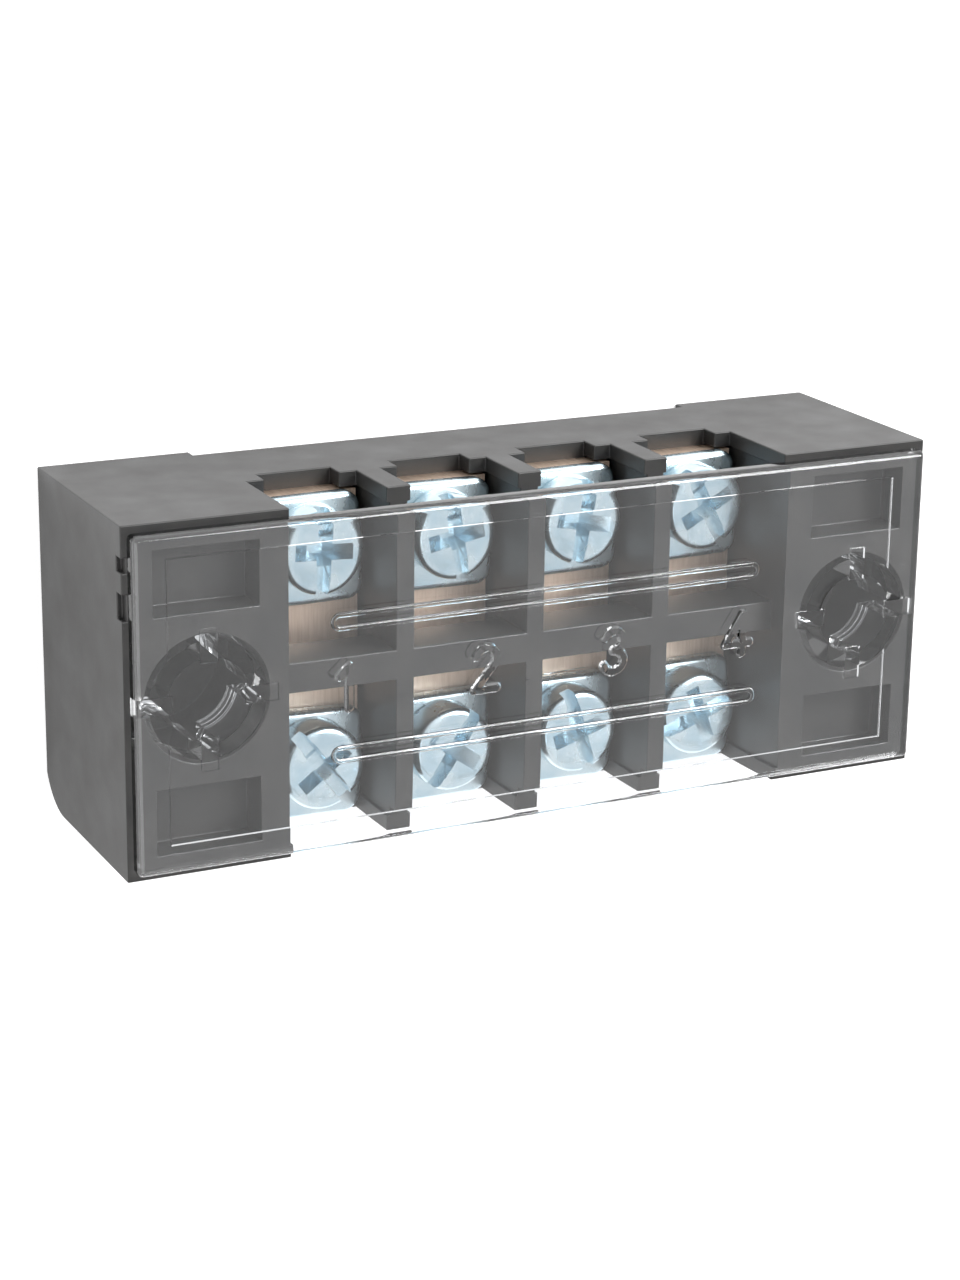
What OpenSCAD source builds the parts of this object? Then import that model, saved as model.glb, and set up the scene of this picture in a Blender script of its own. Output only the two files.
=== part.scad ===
// Barrier terminal strip with a clear clip-on cover.
// Millimetres. The base stands on z = 0, +X runs along the strip, +Y and -Y are the two wire sides.
// The screws in row a are on the +Y side and those in row b on the -Y side.

/* [Strip] */
// Number of poles along the strip
poles = 4; // [2:1:8]
// Distance between the centres of two neighbouring poles
pitch = 8.9; // [8.7:0.1:9.6]
// Thickness of the barrier between two poles
barrier_t = 1.2; // [1:0.1:1.4]
// Width over the two wire sides
strip_w = 22; // [21.8:0.1:24]
// Height of the end blocks, on whose lands the cover lies
strip_h = 15.3; // [15:0.1:17]
// Length of each end block, from the end face to the first channel
end_block_l = 10.3; // [10.1:0.1:13]

/* [Base moulding] */
// Thickness of the side walls that the wires enter through
side_wall = 1; // [0.8:0.1:1.2]
// Height of the channel floor that the conductors lie on
channel_floor = 7; // [6.8:0.1:7.5]
// How far the barriers and the middle bar stop below the lands
barrier_drop = 1.5; // [1:0.1:1.8]
// How far the posts between the wire entries stop below the lands
post_drop = 2.3; // [1.6:0.1:3]
// Width of the middle bar across each pole
bar_w = 1.9; // [1.4:0.1:2.2]
// Height of the relief under the poles, between the two feet
relief_h = 0.9; // [0.4:0.1:1.4]
// How far each foot stops short of its end block's inner face
foot_setback = 0.4; // [0.2:0.1:2]
// Height of the rounding along the lower edge of row b's side
lower_edge_h = 3.3; // [1:0.1:3.5]
// Radius of that rounding
lower_edge_r = 3.7; // [3.6:0.1:5]

/* [Wire entries] */
// Step from the channel wall in to the wire entry, on each side
entry_step = 0.2; // [0.1:0.05:0.3]
// How far the sill of the wire entry lies below the conductor's top
sill_drop = 0.1; // [0.05:0.05:0.5]
// Width of the slot in the middle of the sill
sill_slot_w = 4.95; // [3:0.05:6]

/* [End blocks] */
// Distance from the end face to the mounting hole
hole_inset = 5.1; // [4.9:0.1:5.3]
// Diameter of the mounting hole
hole_d = 4; // [3.2:0.1:4.6]
// Diameter of the well for the mounting screw's head
well_d = 8; // [7.6:0.1:8.4]
// Height of the seat that the mounting screw's head lies on
seat_h = 7; // [4:0.1:8]
// Depth of the four corner pockets
pocket_depth = 2.2; // [1:0.1:4]
// Wall between a corner pocket and the end face
pocket_end_wall = 1.8; // [1.2:0.1:2.2]
// Wall between a corner pocket and the wire side
pocket_side_wall = 1.6; // [1.2:0.1:2]
// Wall between a corner pocket and the first channel
pocket_pole_wall = 1.85; // [1.2:0.05:2.2]
// Rib between a corner pocket and the screw-head well
pocket_rib = 1.35; // [0.8:0.05:1.6]
// Height of the two nicks in the arris of the left end
nick_h = 0.8; // [0.4:0.1:1.2]
// Depth of these nicks
nick_depth = 0.35; // [0.2:0.05:0.4]

/* [Conductors] */
// Thickness of a conductor
conductor_t = 1.5; // [1.2:0.1:1.6]
// Clearance between a conductor and each side of the wire entry that it slides in through
conductor_side_gap = 0.1; // [0.05:0.05:0.3]
// Clearance at each end of a conductor
conductor_end_gap = 0.1; // [0.05:0.05:0.3]
// Clearance under the middle bar while a conductor slides in
bar_gap = 0.1; // [0.05:0.05:0.5]

/* [Clamps] */
// Length of a clamp plate across the strip
clamp_l = 6.9; // [6.4:0.1:7.1]
// Thickness of a clamp plate
clamp_t = 1; // [0.8:0.1:1.2]
// Clearance between a clamp plate and each side of the wire entry
clamp_side_gap = 0.15; // [0.1:0.05:0.4]
// Radius of the plate's corners
clamp_corner_r = 1; // [0.4:0.1:1.6]
// Radius of the plate's upper edges
clamp_edge_r = 0.4; // [0.2:0.1:0.6]
// How far the plates sag on their screws, towards row b's side
clamp_sag = 0.4; // [0:0.05:0.45]
// Least gap between the plate's hole and the neck of the screw
neck_gap = 0.05; // [0.03:0.01:0.2]

/* [Screws] */
// Distance of the screws from the wire side
screw_inset = 4.1; // [4:0.1:4.3]
// Thread diameter
thread_d = 3; // [2.6:0.1:3.4]
// Diameter of the neck on which the plate is captive
neck_d = 2; // [1.8:0.1:2.1]
// Length of the neck
neck_l = 1.3; // [1.25:0.05:1.6]
// Length of the screw under its head
screw_l = 6; // [5:0.5:6.5]
// Head diameter
head_d = 5.4; // [5:0.1:5.8]
// Head height
head_h = 2.2; // [1.8:0.1:2.4]
// Radius of the head's upper edge
head_edge_r = 0.5; // [0.2:0.1:0.8]
// Width of the driver slot
slot_w = 0.9; // [0.6:0.1:1.2]
// Depth of the driver slot
slot_depth = 0.9; // [0.6:0.1:1.2]
// Width of the wings of the cross recess
cross_w = 1; // [0.7:0.1:1.2]
// Distance over two wings of the cross recess
cross_span = 4; // [3:0.1:4.2]
// Depth of the cross recess
cross_depth = 1.6; // [1.2:0.1:1.7]
// Radial clearance of the thread in the conductor
thread_gap = 0.03; // [0.02:0.01:0.08]

/* [Cover] */
// Inset of the cover from the end faces
cover_end_inset = 0.4; // [0.2:0.1:1]
// Inset of the cover from the wire sides
cover_side_inset = 0.5; // [0.2:0.1:1]
// Thickness of the cover at its rim
cover_t = 1; // [0.8:0.1:1.4]
// Radius of the cover's upper edge
cover_edge_r = 0.5; // [0.2:0.1:0.7]
// Depth of the recess under the cover, inside its rim
cover_recess = 0.25; // [0.1:0.05:0.4]
// Width of the rim at the two ends
rim_end_w = 2.2; // [1.4:0.1:3]
// Width of the rim along the two wire sides
rim_side_w = 1.65; // [1:0.05:2.4]
// Length of the clip legs under the rim's face
leg_l = 3.3; // [2.5:0.1:5]
// Wall thickness of the split tube that forms the legs
leg_wall = 1.1; // [0.8:0.1:1.4]
// Width of the four slits in that tube
slit_w = 1.1; // [0.8:0.1:1.4]
// How far each slit runs out past the tube, as a groove in the recess's ceiling
slit_run_out = 0.7; // [0.3:0.1:0.9]
// Depth of these grooves
slit_rise = 0.2; // [0.1:0.05:0.3]
// How far the bead at the tip of the legs stands out
bead = 0.25; // [0.1:0.05:0.3]
// Clearance between the bead and the screw-head well
bead_gap = 0.05; // [0.03:0.01:0.2]
// Outer width of the two raised marking frames
frame_w = 1.15; // [0.8:0.05:2]
// Width of the bead that forms a frame
frame_line = 0.32; // [0.2:0.02:0.5]
// Height of the frames above the cover's face
frame_rise = 0.15; // [0.1:0.05:0.3]
// Distance of the frames from the middle of the strip
frame_y = 4.2; // [3.5:0.1:5.5]
// How far both frames lie towards row b's side
frame_offset = 0.25; // [0:0.05:0.5]
// How far each frame stops short of the pole region's end
frame_end_gap = 2.4; // [1:0.1:4]

/* [Hidden] */
$fn = 48;
// Overlap that keeps a cut from ending exactly on a face
cut = 0.5;

channel_w = pitch - barrier_t;
poles_l = poles * pitch - barrier_t;
strip_l = poles_l + 2 * end_block_l;
channel_l = strip_w - 2 * side_wall;

entry_w = channel_w - 2 * entry_step;
conductor_top = channel_floor + conductor_t;
sill_top = conductor_top - sill_drop;
bar_bottom = conductor_top + conductor_t + bar_gap;
barrier_top = strip_h - barrier_drop;
post_top = strip_h - post_drop;

hole_x = strip_l / 2 - hole_inset;
pocket_x0 = poles_l / 2 + pocket_pole_wall;
pocket_x1 = strip_l / 2 - pocket_end_wall;
pocket_y0 = well_d / 2 + pocket_rib;
pocket_y1 = strip_w / 2 - pocket_side_wall;
// Middle and length of each nick, along Y
nicks = [[8.6, 0.9], [6.05, 1.6]];

conductor_w = entry_w - 2 * conductor_side_gap;
conductor_l = channel_l - 2 * conductor_end_gap;
clamp_w = entry_w - 2 * clamp_side_gap;
clamp_hole_r = neck_d / 2 + clamp_sag + neck_gap;
clamp_top = conductor_top + clamp_t;

screw_y = strip_w / 2 - screw_inset;
tip_chamfer = 0.4;
// Space round and under the screw's tip in its well
tip_gap = 0.5;
tip_well_r = thread_d / 2 + tip_gap;
tip_well_floor = clamp_top - screw_l - tip_gap;
// Where the drivers of rows a and b left the slots, in degrees from +X
slot_angles = [[87, 100, 80, -62], [-53, 56, -73, 20]];

cover_top = strip_h + cover_t;
cover_l = strip_l - 2 * cover_end_inset;
cover_w = strip_w - 2 * cover_side_inset;
ceiling = strip_h + cover_recess;
leg_r = well_d / 2 - bead_gap - bead;
frame_l = poles_l - 2 * frame_end_gap;

// Name of the row and side of the strip that it lies on
rows = [["a", 1], ["b", -1]];

function pole_x(p) = (p - (poles + 1) / 2) * pitch;

// A block centred on X and Y, from one height to another
module block(size_x, size_y, low, high) {
    translate([-size_x / 2, -size_y / 2, low]) cube([size_x, size_y, high - low]);
}

// Cross-section with its two upper corners rounded, extruded along X
module rounded_bar(length, width, height, radius) {
    rotate([90, 0, 90]) linear_extrude(length, center = true) {
        translate([-width / 2, 0]) square([width, height - radius]);
        translate([radius - width / 2, 0]) square([width - 2 * radius, height]);
        for (side = [-1, 1])
            translate([side * (width / 2 - radius), height - radius]) circle(radius);
    }
}

// Plate whose upper edges are rounded on all four sides
module rounded_plate(size_x, size_y, height, radius) {
    intersection() {
        rounded_bar(size_x, size_y, height, radius);
        rotate([0, 0, 90]) rounded_bar(size_y, size_x, height, radius);
    }
}

// Side view of the base moulding, with the rounding along one lower edge
module base_profile() {
    difference() {
        translate([-strip_w / 2, 0]) square([strip_w, strip_h]);
        difference() {
            translate([-strip_w / 2 - cut, -cut]) square([lower_edge_r + cut, lower_edge_h + cut]);
            translate([lower_edge_r - strip_w / 2, lower_edge_h]) circle(lower_edge_r, $fn = 96);
        }
    }
}

// One pole: the tunnel for the conductor, the open channel over it on both sides of the middle
// bar, the wire entries and the wells under the screw tips
module pole_cut() {
    block(channel_w, channel_l, channel_floor, bar_bottom);
    for (side = [-1, 1]) {
        translate([0, side * (bar_w + channel_l) / 4, 0])
            block(channel_w, (channel_l - bar_w) / 2, bar_bottom - cut, strip_h + cut);
        translate([0, side * (channel_l + side_wall) / 2, 0]) {
            block(entry_w, side_wall + 2 * cut, sill_top, strip_h + cut);
            block(sill_slot_w, side_wall + 2 * cut, channel_floor, strip_h);
        }
        translate([0, side * screw_y, tip_well_floor])
            cylinder(r = tip_well_r, h = channel_floor - tip_well_floor + cut);
    }
}

// Mounting hole, head well and corner pockets of the end block on the +X side
module end_block_cut() {
    translate([hole_x, 0, -cut]) cylinder(d = hole_d, h = strip_h);
    translate([hole_x, 0, seat_h]) cylinder(d = well_d, h = strip_h);
    for (side = [-1, 1])
        translate([(pocket_x0 + pocket_x1) / 2, side * (pocket_y0 + pocket_y1) / 2, 0])
            block(pocket_x1 - pocket_x0, pocket_y1 - pocket_y0, strip_h - pocket_depth, strip_h + cut);
}

// One-piece base moulding: barriers, middle bars, wire entries, feet and end blocks
module base_body() {
    color("#2b2b2c")
    difference() {
        rotate([90, 0, 90]) linear_extrude(strip_l, center = true) base_profile();
        block(poles_l + 2 * foot_setback, strip_w + 2 * cut, -cut, relief_h);
        block(poles_l, channel_l, barrier_top, strip_h + cut);
        for (side = [-1, 1])
            translate([0, side * (channel_l + side_wall) / 2, 0])
                block(poles_l - 2 * entry_step, side_wall + 2 * cut, post_top, strip_h + cut);
        for (p = [1 : poles]) translate([pole_x(p), 0, 0]) pole_cut();
        for (side = [-1, 1]) scale([side, 1, 1]) end_block_cut();
        for (nick = nicks)
            translate([-strip_l / 2, nick[0], 0])
                block(2 * nick_depth, nick[1], strip_h - nick_h, strip_h + cut);
    }
}

// Flat bar of tinned brass that joins the two screws of a pole
module conductor(p) {
    color("#c6ab93")
    translate([pole_x(p), 0, 0])
    difference() {
        block(conductor_w, conductor_l, channel_floor, conductor_top);
        for (side = [-1, 1]) translate([0, side * screw_y, channel_floor - cut])
            cylinder(r = thread_d / 2 + thread_gap, h = conductor_t + 2 * cut);
    }
}

// Square plate, captive on its screw, that presses the wire onto the conductor
module clamp(row, p) {
    color("#a9c4d2")
    translate([pole_x(p), row[1] * screw_y, conductor_top])
    difference() {
        translate([0, -clamp_sag, 0]) intersection() {
            rounded_plate(clamp_w, clamp_l, clamp_t, clamp_edge_r);
            union() {
                block(clamp_w - 2 * clamp_corner_r, clamp_l, 0, clamp_t);
                block(clamp_w, clamp_l - 2 * clamp_corner_r, 0, clamp_t);
                for (sx = [-1, 1], sy = [-1, 1])
                    translate([sx * (clamp_w / 2 - clamp_corner_r), sy * (clamp_l / 2 - clamp_corner_r), 0])
                        cylinder(r = clamp_corner_r, h = clamp_t);
            }
        }
        translate([0, -clamp_sag, -cut]) cylinder(r = clamp_hole_r, h = clamp_t + 2 * cut);
    }
}

// Half outline of the screw, from its axis outwards, with z = 0 under the head
module screw_profile() {
    square([head_d / 2, head_h - head_edge_r]);
    square([head_d / 2 - head_edge_r, head_h]);
    translate([head_d / 2 - head_edge_r, head_h - head_edge_r]) circle(head_edge_r);
    translate([0, -screw_l]) square([neck_d / 2, screw_l]);
    polygon([
        [0, -screw_l], [thread_d / 2 - tip_chamfer, -screw_l],
        [thread_d / 2, tip_chamfer - screw_l], [thread_d / 2, -neck_l], [0, -neck_l]
    ]);
}

// Slot and cross recess in one, the wings tapering towards the bottom
module driver_recess() {
    block(head_d + cut, slot_w, head_h - slot_depth, head_h + cut);
    intersection() {
        union() {
            block(cross_span, cross_w, head_h - cross_depth, head_h + cut);
            block(cross_w, cross_span, head_h - cross_depth, head_h + cut);
        }
        translate([0, 0, head_h - cross_depth])
            cylinder(r1 = cross_w / 2, r2 = cross_span / 2 + cut, h = cross_depth + cut);
    }
}

// Zinc-plated terminal screw with a slot and cross recess
module screw(row, p) {
    row_index = row[1] > 0 ? 0 : 1;
    color("#8fb4cc")
    translate([pole_x(p), row[1] * screw_y, clamp_top])
    difference() {
        rotate_extrude() screw_profile();
        rotate([0, 0, slot_angles[row_index][(p - 1) % 4]]) driver_recess();
    }
}

// Half outline of the split tube, with a bead round its tip
module leg_profile() {
    translate([leg_r - leg_wall, -leg_l]) square([leg_wall, leg_l + cover_recess + cut / 2]);
    translate([leg_r, bead - leg_l]) circle(bead);
}

// The four slits of a split tube, from its bore out past its wall
module slits(low, high) {
    difference() {
        for (turn = [0, 90]) rotate([0, 0, turn])
            block(2 * (leg_r + slit_run_out), slit_w, low, high);
        translate([0, 0, low - cut]) cylinder(r = leg_r - leg_wall, h = high - low + 2 * cut);
    }
}

// Split tube that clips into the screw-head well
module clip_legs() {
    difference() {
        rotate_extrude() translate([0, strip_h]) leg_profile();
        slits(strip_h - leg_l - cut, ceiling + slit_rise);
    }
}

// Slot shape with round ends
module stadium(length, width, height) {
    block(length - width, width, 0, height);
    for (side = [-1, 1]) translate([side * (length - width) / 2, 0, 0])
        cylinder(d = width, h = height);
}

// Raised frame for the pole markings
module marking_frame() {
    difference() {
        stadium(frame_l, frame_w, frame_rise);
        translate([0, 0, -cut])
            stadium(frame_l - 2 * frame_line, frame_w - 2 * frame_line, frame_rise + 2 * cut);
    }
}

// Clear cover: a rimmed plate with two groups of clip legs and two raised marking frames
module cover() {
    color("#9fb0bd", 0.35) {
        difference() {
            translate([0, 0, strip_h]) rounded_plate(cover_l, cover_w, cover_t, cover_edge_r);
            block(cover_l - 2 * rim_end_w, cover_w - 2 * rim_side_w, strip_h - cut, ceiling);
            for (side = [-1, 1])
                translate([side * hole_x, 0, 0]) slits(ceiling - cut, ceiling + slit_rise);
        }
        for (side = [-1, 1]) {
            translate([side * hole_x, 0, 0]) clip_legs();
            translate([0, side * frame_y - frame_offset, cover_top]) marking_frame();
        }
    }
}

base_body();
cover();
for (p = [1 : poles]) {
    conductor(p);
    for (row = rows) {
        clamp(row, p);
        screw(row, p);
    }
}
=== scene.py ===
import math

import bmesh
import bpy
from mathutils import Matrix, Vector


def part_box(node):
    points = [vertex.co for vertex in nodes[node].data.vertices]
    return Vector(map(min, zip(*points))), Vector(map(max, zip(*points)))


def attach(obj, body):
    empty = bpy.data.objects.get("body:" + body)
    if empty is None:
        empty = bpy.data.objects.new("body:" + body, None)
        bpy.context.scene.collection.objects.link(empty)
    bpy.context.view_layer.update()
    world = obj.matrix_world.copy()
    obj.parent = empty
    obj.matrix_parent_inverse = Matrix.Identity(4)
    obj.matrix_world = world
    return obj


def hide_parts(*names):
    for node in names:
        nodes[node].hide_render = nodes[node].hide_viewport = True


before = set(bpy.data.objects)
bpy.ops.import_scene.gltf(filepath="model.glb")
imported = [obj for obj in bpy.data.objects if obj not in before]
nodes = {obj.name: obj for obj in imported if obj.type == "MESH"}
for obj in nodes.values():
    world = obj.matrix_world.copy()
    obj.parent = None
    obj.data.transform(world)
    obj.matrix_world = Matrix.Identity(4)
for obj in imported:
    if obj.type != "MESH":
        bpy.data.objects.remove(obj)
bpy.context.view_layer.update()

MM = 0.001


# The view looks down on the cover from above the left end and the far wire side, with a long
# lens. The strip fills the width of the picture, as it does in a catalogue.
camera_data = bpy.data.cameras.new("camera")
camera_data.lens = 84.3
camera_data.clip_start = 0.01
camera = bpy.data.objects.new("camera", camera_data)
camera.location = (-0.0817, 0.0562, 0.1734)
camera.rotation_euler = [math.radians(angle) for angle in (-17.68, -25.82, 0.82)]
bpy.context.scene.collection.objects.link(camera)
bpy.context.scene.camera = camera
bpy.context.scene.view_settings.view_transform = "Standard"


# The studio: a white table and a white surround, one large soft lamp from the far right and a
# weaker one from the near left. The table shows white to the eye and in every reflection.
def new_material(name, roughness=0.5, metallic=0.0):
    """A material with its Principled shader, as (material, nodes, links, shader)."""
    material = bpy.data.materials.new(name)
    material.use_nodes = True
    tree = material.node_tree
    shader = tree.nodes["Principled BSDF"]
    shader.inputs["Roughness"].default_value = roughness
    shader.inputs["Metallic"].default_value = metallic
    return material, tree.nodes, tree.links, shader


def seen_directly(tree):
    """A value that is 1 for camera, glossy and transmitted rays and 0 for the others."""
    path = tree.nodes.new("ShaderNodeLightPath")
    value = path.outputs["Is Camera Ray"]
    for name in ("Is Glossy Ray", "Is Transmission Ray"):
        larger = tree.nodes.new("ShaderNodeMath")
        larger.operation = "MAXIMUM"
        tree.links.new(value, larger.inputs[0])
        tree.links.new(path.outputs[name], larger.inputs[1])
        value = larger.outputs["Value"]
    return value


def soft_lamp(name, place, size, watts):
    """A square area lamp that faces the strip."""
    lamp_data = bpy.data.lights.new(name, "AREA")
    lamp_data.size = size
    lamp_data.energy = watts
    lamp = bpy.data.objects.new(name, lamp_data)
    lamp.location = place
    lamp.rotation_euler = (-Vector(place)).to_track_quat("-Z", "Y").to_euler()
    bpy.context.scene.collection.objects.link(lamp)


table_w = 1.6
table_glow = 0.5
room_light = 0.62
room_seen = 1.0

bm = bmesh.new()
bmesh.ops.create_grid(bm, x_segments=1, y_segments=1, size=table_w / 2)
table_mesh = bpy.data.meshes.new("table")
bm.to_mesh(table_mesh)
bm.free()
table = bpy.data.objects.new("table", table_mesh)
bpy.context.scene.collection.objects.link(table)

table_white, table_nodes, table_links, table_shader = new_material("table_white", 0.9)
table_shader.inputs["Base Color"].default_value = (0.86, 0.86, 0.86, 1)
table_shader.inputs["Specular IOR Level"].default_value = 0.0
glow = table_nodes.new("ShaderNodeMath")
glow.operation = "MULTIPLY"
glow.inputs[1].default_value = table_glow
table_links.new(seen_directly(table_white.node_tree), glow.inputs[0])
table_shader.inputs["Emission Color"].default_value = (1, 1, 1, 1)
table_links.new(glow.outputs["Value"], table_shader.inputs["Emission Strength"])
table_mesh.materials.append(table_white)

room = bpy.data.worlds.new("room")
room.use_nodes = True
bpy.context.scene.world = room
room_level = room.node_tree.nodes.new("ShaderNodeMapRange")
room_level.inputs["To Min"].default_value = room_light
room_level.inputs["To Max"].default_value = room_seen
room.node_tree.links.new(seen_directly(room.node_tree), room_level.inputs["Value"])
room_shader = room.node_tree.nodes["Background"]
room_shader.inputs["Color"].default_value = (1, 1, 1, 1)
room.node_tree.links.new(room_level.outputs["Result"], room_shader.inputs["Strength"])

soft_lamp("key_lamp", (0.22, 0.24, 0.30), 0.22, 2.2)
soft_lamp("fill_lamp", (-0.30, -0.10, 0.28), 0.30, 0.6)


# Base moulding: black glass-filled plastic in one piece, with a fine spark-eroded grain from the
# mould and arrises that are barely broken. The four conductors drop into its channels.
def grain_group():
    """Node group: mould grain as a height, and slow mottling as a mask."""
    group = bpy.data.node_groups.new("mould_grain", "ShaderNodeTree")
    for name, kind, value in (
        ("Grain Scale", "NodeSocketFloat", 6000.0),
        ("Mottle Scale", "NodeSocketFloat", 300.0),
    ):
        group.interface.new_socket(name, in_out="INPUT", socket_type=kind).default_value = value
    group.interface.new_socket("Height", in_out="OUTPUT", socket_type="NodeSocketFloat")
    group.interface.new_socket("Mottle", in_out="OUTPUT", socket_type="NodeSocketFloat")
    entry = group.nodes.new("NodeGroupInput")
    exit_ = group.nodes.new("NodeGroupOutput")
    place = group.nodes.new("ShaderNodeTexCoord")
    for scale, target, detail in (("Grain Scale", "Height", 3.0), ("Mottle Scale", "Mottle", 4.0)):
        noise = group.nodes.new("ShaderNodeTexNoise")
        noise.inputs["Detail"].default_value = detail
        group.links.new(place.outputs["Object"], noise.inputs["Vector"])
        group.links.new(entry.outputs[scale], noise.inputs["Scale"])
        group.links.new(noise.outputs["Fac"], exit_.inputs[target])
    return group


def two_tone(nodes_, links_, mask, low, high, target):
    """Blends two colours by a mask into a colour socket."""
    ramp = nodes_.new("ShaderNodeValToRGB")
    ramp.color_ramp.elements[0].color = (*low, 1)
    ramp.color_ramp.elements[1].color = (*high, 1)
    ramp.color_ramp.elements[0].position = 0.35
    ramp.color_ramp.elements[1].position = 0.65
    links_.new(mask, ramp.inputs["Fac"])
    links_.new(ramp.outputs["Color"], target)


def between(nodes_, links_, mask, low, high, target):
    """Maps a mask to a range of values into a socket."""
    span = nodes_.new("ShaderNodeMapRange")
    span.inputs["From Min"].default_value = 0.3
    span.inputs["From Max"].default_value = 0.7
    span.inputs["To Min"].default_value = low
    span.inputs["To Max"].default_value = high
    links_.new(mask, span.inputs["Value"])
    links_.new(span.outputs["Result"], target)


def bumped(nodes_, links_, height, depth, shader):
    """Leads a height into the shader's normal; depth is in metres."""
    bump = nodes_.new("ShaderNodeBump")
    bump.inputs["Strength"].default_value = 1.0
    bump.inputs["Distance"].default_value = depth
    links_.new(height, bump.inputs["Height"])
    links_.new(bump.outputs["Normal"], shader.inputs["Normal"])


mould_grain = grain_group()
arris = 0.12 * MM

base_black, base_nodes, base_links, base_shader = new_material("base_black", 0.45)
grain = base_nodes.new("ShaderNodeGroup")
grain.node_tree = mould_grain
grain.inputs["Grain Scale"].default_value = 9000
grain.inputs["Mottle Scale"].default_value = 350
two_tone(base_nodes, base_links, grain.outputs["Mottle"], (0.014, 0.014, 0.014), (0.022, 0.021, 0.020),
         base_shader.inputs["Base Color"])
between(base_nodes, base_links, grain.outputs["Mottle"], 0.40, 0.50, base_shader.inputs["Roughness"])
bumped(base_nodes, base_links, grain.outputs["Height"], 0.006 * MM, base_shader)

bm = bmesh.new()
bm.from_mesh(nodes["base_body"].data)
bmesh.ops.remove_doubles(bm, verts=bm.verts, dist=1e-6)
bmesh.ops.dissolve_limit(bm, angle_limit=math.radians(1), verts=bm.verts, edges=bm.edges)
base_mesh = bpy.data.meshes.new("base_moulding")
bm.to_mesh(base_mesh)
bm.free()
base_mesh.materials.clear()
base_mesh.materials.append(base_black)
base = bpy.data.objects.new("base_moulding", base_mesh)
bpy.context.scene.collection.objects.link(base)
broken = base.modifiers.new("broken_arrises", "BEVEL")
broken.width = arris
broken.segments = 2
broken.limit_method = "ANGLE"
broken.angle_limit = math.radians(35)
broken.harden_normals = False
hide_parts("base_body")
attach(base, "strip")


# Conductors: flat bars of tinned brass, sheared from strip and brushed by rolling, so the fine
# lines run along each bar. They lie loose in the channels until the screws pull them down.
tin_tan, tin_nodes, tin_links, tin_shader = new_material("tinned_brass", 0.42, 1.0)
tin_place = tin_nodes.new("ShaderNodeTexCoord")
tin_stretch = tin_nodes.new("ShaderNodeMapping")
tin_stretch.inputs["Scale"].default_value = (9000, 500, 500)
tin_lines = tin_nodes.new("ShaderNodeTexNoise")
tin_lines.inputs["Scale"].default_value = 1.0
tin_links.new(tin_place.outputs["Object"], tin_stretch.inputs["Vector"])
tin_links.new(tin_stretch.outputs["Vector"], tin_lines.inputs["Vector"])
two_tone(tin_nodes, tin_links, tin_lines.outputs["Fac"], (0.62, 0.47, 0.36), (0.72, 0.57, 0.46),
         tin_shader.inputs["Base Color"])
between(tin_nodes, tin_links, tin_lines.outputs["Fac"], 0.36, 0.52, tin_shader.inputs["Roughness"])
bumped(tin_nodes, tin_links, tin_lines.outputs["Fac"], 0.004 * MM, tin_shader)
for pole in (1, 2, 3, 4):
    bar = nodes[f"conductor_{pole}"]
    bar.data.materials.clear()
    bar.data.materials.append(tin_tan)


# Clamp plates: small squares punched from 1 mm steel, tumbled until their upper edges are round
# and plated in bright blue zinc. Each is captive on its screw and sags a little on the neck.
def blank(bm_, name, material):
    """An object from a bmesh, both in millimetres, to be cut or joined before it is finished."""
    bmesh.ops.recalc_face_normals(bm_, faces=bm_.faces)
    mesh = bpy.data.meshes.new(name)
    bm_.to_mesh(mesh)
    bm_.free()
    mesh.materials.append(material)
    made = bpy.data.objects.new(name, mesh)
    bpy.context.scene.collection.objects.link(made)
    return made


def finish_mesh(mesh, sharp=32):
    """Brings a mesh from millimetres to metres and smooths it up to its sharp edges."""
    mesh.transform(Matrix.Scale(MM, 4))
    mesh.shade_smooth()
    mesh.set_sharp_from_angle(angle=math.radians(sharp))


def rings_to_mesh(bm_, rings, closed=True):
    """Joins rings of points, from the first to the last, and caps both ends."""
    rows = [[bm_.verts.new(point) for point in ring] for ring in rings]
    count = len(rows[0])
    for low, high in zip(rows, rows[1:]):
        for i in range(count):
            j = (i + 1) % count
            bm_.faces.new((low[i], low[j], high[j], high[i]))
    bm_.faces.new(list(reversed(rows[0])))
    bm_.faces.new(rows[-1])


def cut_away(target, tool, operation="DIFFERENCE"):
    """Applies a boolean and removes the tool."""
    change = target.modifiers.new("cut", "BOOLEAN")
    change.operation = operation
    change.solver = "EXACT"
    change.object = tool
    bpy.context.view_layer.update()
    depsgraph = bpy.context.evaluated_depsgraph_get()
    result = bpy.data.meshes.new_from_object(target.evaluated_get(depsgraph))
    target.modifiers.remove(change)
    old = target.data
    target.data = result
    bpy.data.meshes.remove(old)
    bpy.data.objects.remove(tool)


def rounded_outline(size_x, size_y, radius, steps=8):
    """Points round a rectangle with round corners, counter-clockwise."""
    points = []
    for k, (sx, sy) in enumerate(((1, 1), (-1, 1), (-1, -1), (1, -1))):
        for i in range(steps + 1):
            angle = math.radians(90 * (k + i / steps))
            points.append((
                sx * (size_x / 2 - radius) + radius * math.cos(angle),
                sy * (size_y / 2 - radius) + radius * math.sin(angle),
            ))
    return points


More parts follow.
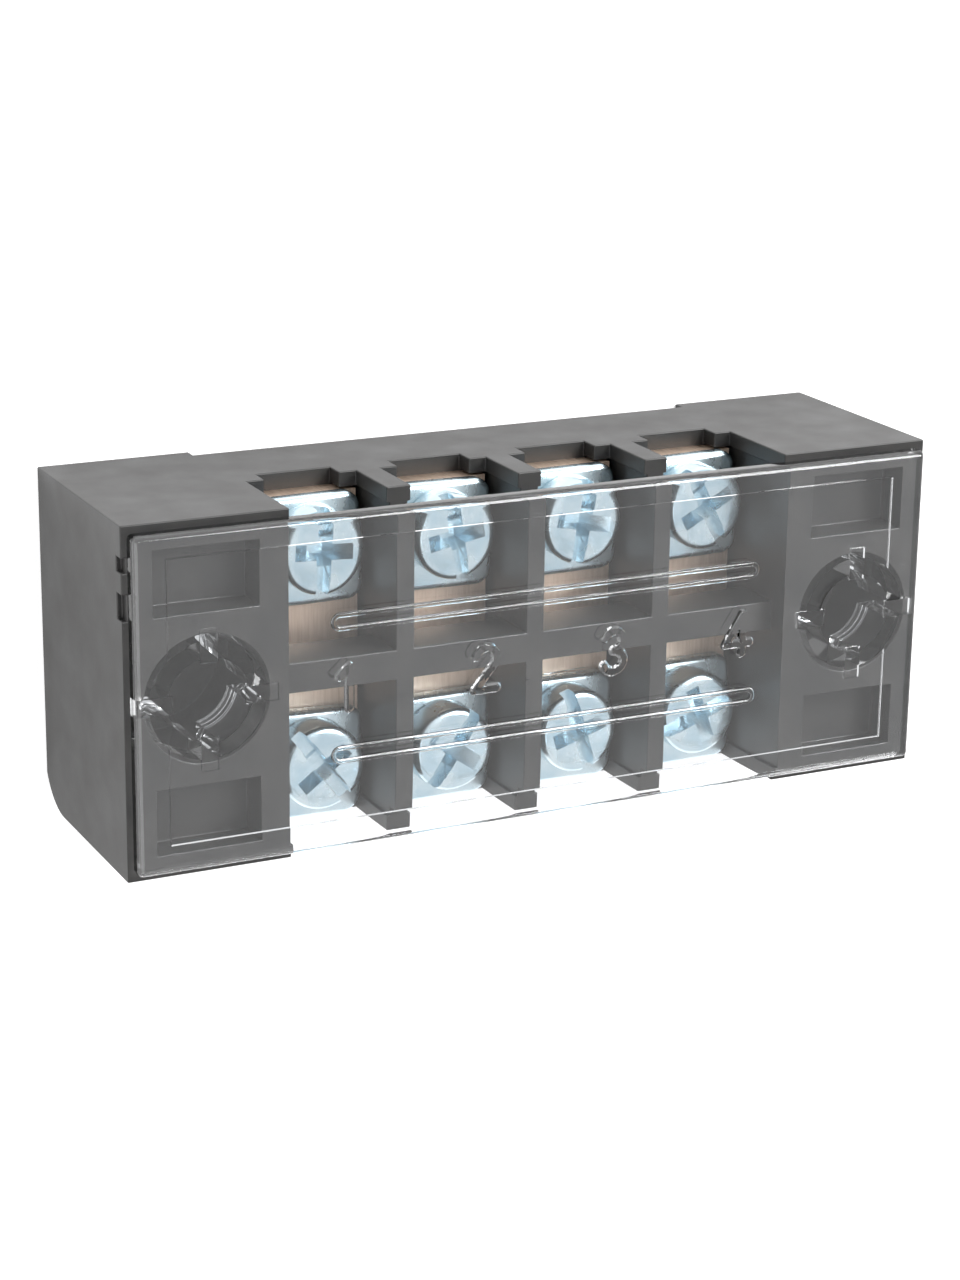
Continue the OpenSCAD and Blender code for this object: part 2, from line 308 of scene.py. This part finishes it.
def rounded_slab(bm_, size_x, size_y, low, high, corner, top_round, steps=6, bottom_round=0.0):
    """A slab with round corners, a round upper edge and, if asked, a round lower edge."""
    rings = []

    def ring(inset, z):
        outline = rounded_outline(size_x - 2 * inset, size_y - 2 * inset, max(corner - inset, 0.02))
        rings.append([(x, y, z) for x, y in outline])

    if bottom_round:
        for i in range(steps):
            angle = math.radians(90 * i / steps)
            ring(bottom_round * (1 - math.sin(angle)), low + bottom_round * (1 - math.cos(angle)))
        ring(0, low + bottom_round)
    else:
        ring(0, low)
    ring(0, high - top_round)
    for i in range(1, steps + 1):
        angle = math.radians(90 * i / steps)
        ring(top_round * (1 - math.cos(angle)), high - top_round * (1 - math.sin(angle)))
    rings_to_mesh(bm_, rings)


def round_tool(radius, low, high, sides=64):
    """A round cutter, in millimetres."""
    bm_ = bmesh.new()
    rings = [
        [(radius * math.cos(2 * math.pi * i / sides), radius * math.sin(2 * math.pi * i / sides), z)
         for i in range(sides)]
        for z in (low, high)
    ]
    rings_to_mesh(bm_, rings)
    return blank(bm_, "round_tool", zinc_blue)


clamp_w, clamp_l, clamp_t = 7.0, 6.9, 1.0
clamp_corner = 1.0
clamp_edge = 0.4
clamp_sag = 0.4
clamp_hole = 1.45

zinc_blue, zinc_nodes, zinc_links, zinc_shader = new_material("blue_zinc", 0.25, 1.0)
plating = zinc_nodes.new("ShaderNodeGroup")
plating.node_tree = mould_grain
plating.inputs["Grain Scale"].default_value = 2500
plating.inputs["Mottle Scale"].default_value = 500
two_tone(zinc_nodes, zinc_links, plating.outputs["Mottle"], (0.50, 0.64, 0.72), (0.66, 0.76, 0.80),
         zinc_shader.inputs["Base Color"])
between(zinc_nodes, zinc_links, plating.outputs["Mottle"], 0.20, 0.32, zinc_shader.inputs["Roughness"])
bumped(zinc_nodes, zinc_links, plating.outputs["Height"], 0.006 * MM, zinc_shader)

bm = bmesh.new()
rounded_slab(bm, clamp_w, clamp_l, 0, clamp_t, clamp_corner, clamp_edge, bottom_round=0.12)
plate = blank(bm, "clamp_plate", zinc_blue)
cut_away(plate, round_tool(clamp_hole, -1, 2))
plate_mesh = plate.data
bpy.data.objects.remove(plate)
plate_mesh.transform(Matrix.Translation((0, -clamp_sag, 0)))
finish_mesh(plate_mesh)

# How far each plate has turned on its screw, in degrees
plate_turns = {"a": (0.6, -0.8, 0.5, 1.0), "b": (-0.7, 0.4, -1.0, 0.6)}
for row in ("a", "b"):
    for pole in (1, 2, 3, 4):
        key = f"{row}{pole}"
        head_low, head_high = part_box(f"screw_{key}")
        low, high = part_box(f"clamp_{key}")
        plate = bpy.data.objects.new(f"plate_{key}", plate_mesh)
        plate.location = ((head_low.x + head_high.x) / 2, (head_low.y + head_high.y) / 2, low.z)
        plate.rotation_euler.z = math.radians(plate_turns[row][pole - 1])
        bpy.context.scene.collection.objects.link(plate)
        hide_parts(f"clamp_{key}")
        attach(plate, f"clamp_{key}")


# Terminal screws: cold-headed M3 steel with a rolled thread, a slot and cross recess, and the
# same blue zinc. The thread is rolled after the plate is on, so the neck keeps the plate.
head_r, head_h, head_edge = 2.7, 2.2, 0.5
neck_r, neck_l = 1.0, 1.3
thread_r, thread_root, thread_pitch = 1.5, 1.2, 0.5
screw_l = 6.0
slot_w, slot_depth = 0.9, 0.9
cross_w, cross_span, cross_depth = 1.0, 4.0, 1.6
facets = 72


def screw_rings():
    """Rings of a screw from the tip to the top of its head, with a helical thread."""
    def circle(radius, z):
        return [
            (radius * math.cos(2 * math.pi * i / facets), radius * math.sin(2 * math.pi * i / facets), z)
            for i in range(facets)
        ]

    rings = [circle(0.8, -screw_l)]
    rows = int((screw_l - neck_l - 0.3) / thread_pitch * 8)
    for row_ in range(rows + 1):
        z = -screw_l + 0.1 + (screw_l - neck_l - 0.3) * row_ / rows
        ends = min(1.0, row_ / 6, (rows - row_) / 4)
        ring = []
        for i in range(facets):
            turn = i / facets
            phase = (z / thread_pitch - turn) % 1.0
            crest = 1 - abs(2 * phase - 1)
            radius = thread_root + (thread_r - thread_root) * min(1.0, 1.25 * crest) * ends
            angle = 2 * math.pi * turn
            ring.append((radius * math.cos(angle), radius * math.sin(angle), z))
        rings.append(ring)
    rings += [circle(neck_r, -neck_l), circle(neck_r, 0), circle(head_r - 0.12, 0), circle(head_r, 0.12)]
    for i in range(9):
        angle = math.radians(90 * i / 8)
        rings.append(circle(
            head_r - head_edge * (1 - math.cos(angle)), head_h - head_edge * (1 - math.sin(angle))
        ))
    return rings


def wing_tool(width, top_span, bottom_span, depth, turn):
    """A cutter for one pair of wings, tapering towards the bottom."""
    bm_ = bmesh.new()
    rings = []
    for z, span, w in ((head_h - depth, bottom_span, width * 0.8), (head_h + 0.3, top_span, width)):
        rings.append([(x * span / 2, y * w / 2, z) for x, y in ((-1, -1), (1, -1), (1, 1), (-1, 1))])
    rings_to_mesh(bm_, rings)
    bmesh.ops.rotate(bm_, matrix=Matrix.Rotation(math.radians(turn), 3, "Z"), verts=bm_.verts)
    return blank(bm_, "wing_tool", zinc_blue)


bm = bmesh.new()
rings_to_mesh(bm, screw_rings())
screw = blank(bm, "screw", zinc_blue)
cut_away(screw, wing_tool(cross_w, cross_span + 0.3, cross_w, cross_depth, 0))
cut_away(screw, wing_tool(cross_w, cross_span + 0.3, cross_w, cross_depth, 90))
cut_away(screw, wing_tool(slot_w, 2 * head_r + 1, 2 * head_r + 1, slot_depth, 0))
screw_mesh = screw.data
bpy.data.objects.remove(screw)
finish_mesh(screw_mesh)

slot_angles = {"a": (87, 100, 80, -62), "b": (-53, 56, -73, 20)}
for row in ("a", "b"):
    for pole in (1, 2, 3, 4):
        key = f"{row}{pole}"
        low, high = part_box(f"screw_{key}")
        screw = bpy.data.objects.new(f"terminal_screw_{key}", screw_mesh)
        screw.location = ((low.x + high.x) / 2, (low.y + high.y) / 2, low.z + screw_l * MM)
        screw.rotation_euler.z = math.radians(slot_angles[row][pole - 1])
        bpy.context.scene.collection.objects.link(screw)
        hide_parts(f"screw_{key}")
        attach(screw, f"screw_{key}")


# Cover: clear polycarbonate moulded in one piece. A rim runs round the recessed underside, two
# split tubes snap into the wells of the base, and pole numbers and two frames stand on its face.
cover_low, cover_high = (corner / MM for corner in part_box("cover"))
land = 15.3
cover_t, cover_edge, cover_corner = 1.0, 0.5, 0.35
rim_end_w, rim_side_w, recess = 2.2, 1.65, 0.25
well_x = 22.4
leg_r, leg_wall, leg_l, leg_bead = 3.7, 1.1, 3.3, 0.25
slit_w, slit_run_out, slit_rise = 1.1, 0.7, 0.2
face = land + cover_t
ceiling = land + recess
cover_l = cover_high.x - cover_low.x
cover_w = cover_high.y - cover_low.y

clear, clear_nodes, clear_links, clear_shader = new_material("clear_cover", 0.03)
clear_shader.inputs["Base Color"].default_value = (0.97, 0.98, 0.99, 1)
clear_shader.inputs["IOR"].default_value = 1.55
clear_shader.inputs["Transmission Weight"].default_value = 1.0
light_through = clear_nodes.new("ShaderNodeBsdfTransparent")
light_through.inputs["Color"].default_value = (0.9, 0.9, 0.9, 1)
ray = clear_nodes.new("ShaderNodeLightPath")
either = clear_nodes.new("ShaderNodeMixShader")
clear_links.new(ray.outputs["Is Shadow Ray"], either.inputs["Fac"])
clear_links.new(clear_shader.outputs["BSDF"], either.inputs[1])
clear_links.new(light_through.outputs["BSDF"], either.inputs[2])
clear_links.new(either.outputs["Shader"], clear_nodes["Material Output"].inputs["Surface"])


def box_tool(size_x, size_y, low_z, high_z, centre=(0, 0)):
    """A square cutter, in millimetres."""
    bm_ = bmesh.new()
    rings = []
    for z in (low_z, high_z):
        rings.append([
            (centre[0] + x * size_x / 2, centre[1] + y * size_y / 2, z)
            for x, y in ((-1, -1), (1, -1), (1, 1), (-1, 1))
        ])
    rings_to_mesh(bm_, rings)
    return blank(bm_, "box_tool", clear)


def turned(profile, centre, sides=96):
    """A ring turned from a closed outline of (radius, height) points."""
    bm_ = bmesh.new()
    columns = []
    for i in range(sides):
        angle = 2 * math.pi * i / sides
        columns.append([
            bm_.verts.new((centre[0] + r * math.cos(angle), centre[1] + r * math.sin(angle), z))
            for r, z in profile
        ])
    for here, there in zip(columns, columns[1:] + columns[:1]):
        for k in range(len(profile)):
            m = (k + 1) % len(profile)
            bm_.faces.new((here[k], there[k], there[m], here[m]))
    return blank(bm_, "turned_ring", clear)


def leg_outline():
    """Section of the split tube, with the bead round its tip."""
    tip = land - leg_l
    outer = [(leg_r, face - cover_t / 2), (leg_r, tip + 2 * leg_bead)]
    bead_arc = [
        (leg_r + leg_bead * math.sin(math.radians(a)), tip + leg_bead + leg_bead * math.cos(math.radians(a)))
        for a in range(20, 181, 20)
    ]
    inner = [(leg_r - leg_wall, tip), (leg_r - leg_wall, face - cover_t / 2)]
    return outer + bead_arc + inner


def raised(strokes, half_width, rise, margin=0.15, step=0.07):
    """A closed solid, sunk in the cover's face, whose top swells along the strokes."""
    lines = []
    for stroke in strokes:
        lines += [(Vector(p_), Vector(q_)) for p_, q_ in zip(stroke, stroke[1:])]
    xs = [end.x for line in lines for end in line]
    ys = [end.y for line in lines for end in line]
    reach_ = half_width + margin
    low_x, low_y = min(xs) - reach_, min(ys) - reach_
    count_x = int((max(xs) + reach_ - low_x) / step) + 1
    count_y = int((max(ys) + reach_ - low_y) / step) + 1

    def height(x, y):
        point = Vector((x, y))
        nearest = math.inf
        for start, end in lines:
            along = (point - start).dot(end - start) / (end - start).length_squared
            nearest = min(nearest, (point - start.lerp(end, min(1, max(0, along)))).length)
        inside = 1 - nearest / half_width
        return rise * min(1.0, 2.6 * inside) if inside > 0 else max(-0.05, 0.6 * inside * half_width)

    bm_ = bmesh.new()
    grid = []
    for j in range(count_y + 1):
        y = low_y + j * step
        grid.append([bm_.verts.new((low_x + i * step, y, face + height(low_x + i * step, y)))
                     for i in range(count_x + 1)])
    for j in range(count_y):
        for i in range(count_x):
            bm_.faces.new((grid[j][i], grid[j][i + 1], grid[j + 1][i + 1], grid[j + 1][i]))
    skirt = [edge for edge in bm_.edges if edge.is_boundary]
    dropped = bmesh.ops.extrude_edge_only(bm_, edges=skirt)["geom"]
    for vert in (item for item in dropped if isinstance(item, bmesh.types.BMVert)):
        vert.co.z = face - 0.12
    rim = [edge for edge in bm_.edges if edge.is_boundary]
    bmesh.ops.contextual_create(bm_, geom=rim)
    return blank(bm_, "raised", clear)


def arc(cx, cy, radius_x, radius_y, start, stop, steps=14):
    """Points along an arc, in degrees."""
    return [
        (cx + radius_x * math.cos(math.radians(start + (stop - start) * i / steps)),
         cy + radius_y * math.sin(math.radians(start + (stop - start) * i / steps)))
        for i in range(steps + 1)
    ]


bm = bmesh.new()
rounded_slab(bm, cover_l, cover_w, land, face, cover_corner, cover_edge)
cover = blank(bm, "clear_cover", clear)
cut_away(cover, box_tool(cover_l - 2 * rim_end_w, cover_w - 2 * rim_side_w, land - 1, ceiling))
for side in (-1, 1):
    cut_away(cover, turned(leg_outline(), (side * well_x, 0)), "UNION")
    slit_l = leg_wall + slit_run_out + 0.3
    reach = leg_r - leg_wall - 0.3 + slit_l / 2
    for dx, dy in ((1, 0), (-1, 0), (0, 1), (0, -1)):
        size = (slit_l, slit_w) if dx else (slit_w, slit_l)
        centre = (side * well_x + dx * reach, dy * reach)
        cut_away(cover, box_tool(*size, land - leg_l - 1, ceiling + slit_rise, centre))

frame_l, frame_w, frame_line, frame_rise = 29.6, 1.15, 0.32, 0.15
frame_r = (frame_w - frame_line) / 2
straight = (frame_l - frame_w) / 2
for frame_y in (3.95, -4.45):
    bm = bmesh.new()
    outline = arc(straight, frame_y, 1, 1, -90, 90) + arc(-straight, frame_y, 1, 1, 90, 270)
    rings = []
    for i in range(17):
        turn = 2 * math.pi * i / 16
        radius = frame_r + frame_line / 2 * math.cos(turn)
        rise = max(-0.1, frame_rise * math.sin(turn))
        rings.append([
            bm.verts.new((math.copysign(straight, x) + (x - math.copysign(straight, x)) * radius,
                          frame_y + (y - frame_y) * radius, face + rise))
            for x, y in outline
        ] if i < 16 else rings[0])
    for low_ring, high_ring in zip(rings, rings[1:]):
        for k in range(len(outline)):
            m = (k + 1) % len(outline)
            bm.faces.new((low_ring[k], low_ring[m], high_ring[m], high_ring[k]))
    cut_away(cover, blank(bm, "frame", clear), "UNION")

# Strokes of the pole numbers round their own middles, in millimetres
digit_line, digit_rise = 0.66, 0.2
digits = {
    1: [[(-0.45, 0.72), (0.2, 1.3), (0.2, -1.3)]],
    2: [arc(0, 0.62, 0.7, 0.72, 165, -30) + [(-0.72, -1.32), (0.75, -1.32)]],
    3: [arc(-0.02, 0.68, 0.62, 0.64, 160, -90) + arc(-0.02, -0.64, 0.72, 0.68, 90, -160)[1:]],
    4: [[(0.4, -1.3), (0.4, 1.3), (-0.8, -0.62), (0.95, -0.62)]],
}
digit_places = {1: -13.8, 2: -4.5, 3: 4.4, 4: 13.3}
for digit, strokes in digits.items():
    moved = [[(x + digit_places[digit], y - 0.2) for x, y in stroke] for stroke in strokes]
    cut_away(cover, raised(moved, digit_line / 2, digit_rise), "UNION")
finish_mesh(cover.data)
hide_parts("cover")
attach(cover, "cover")
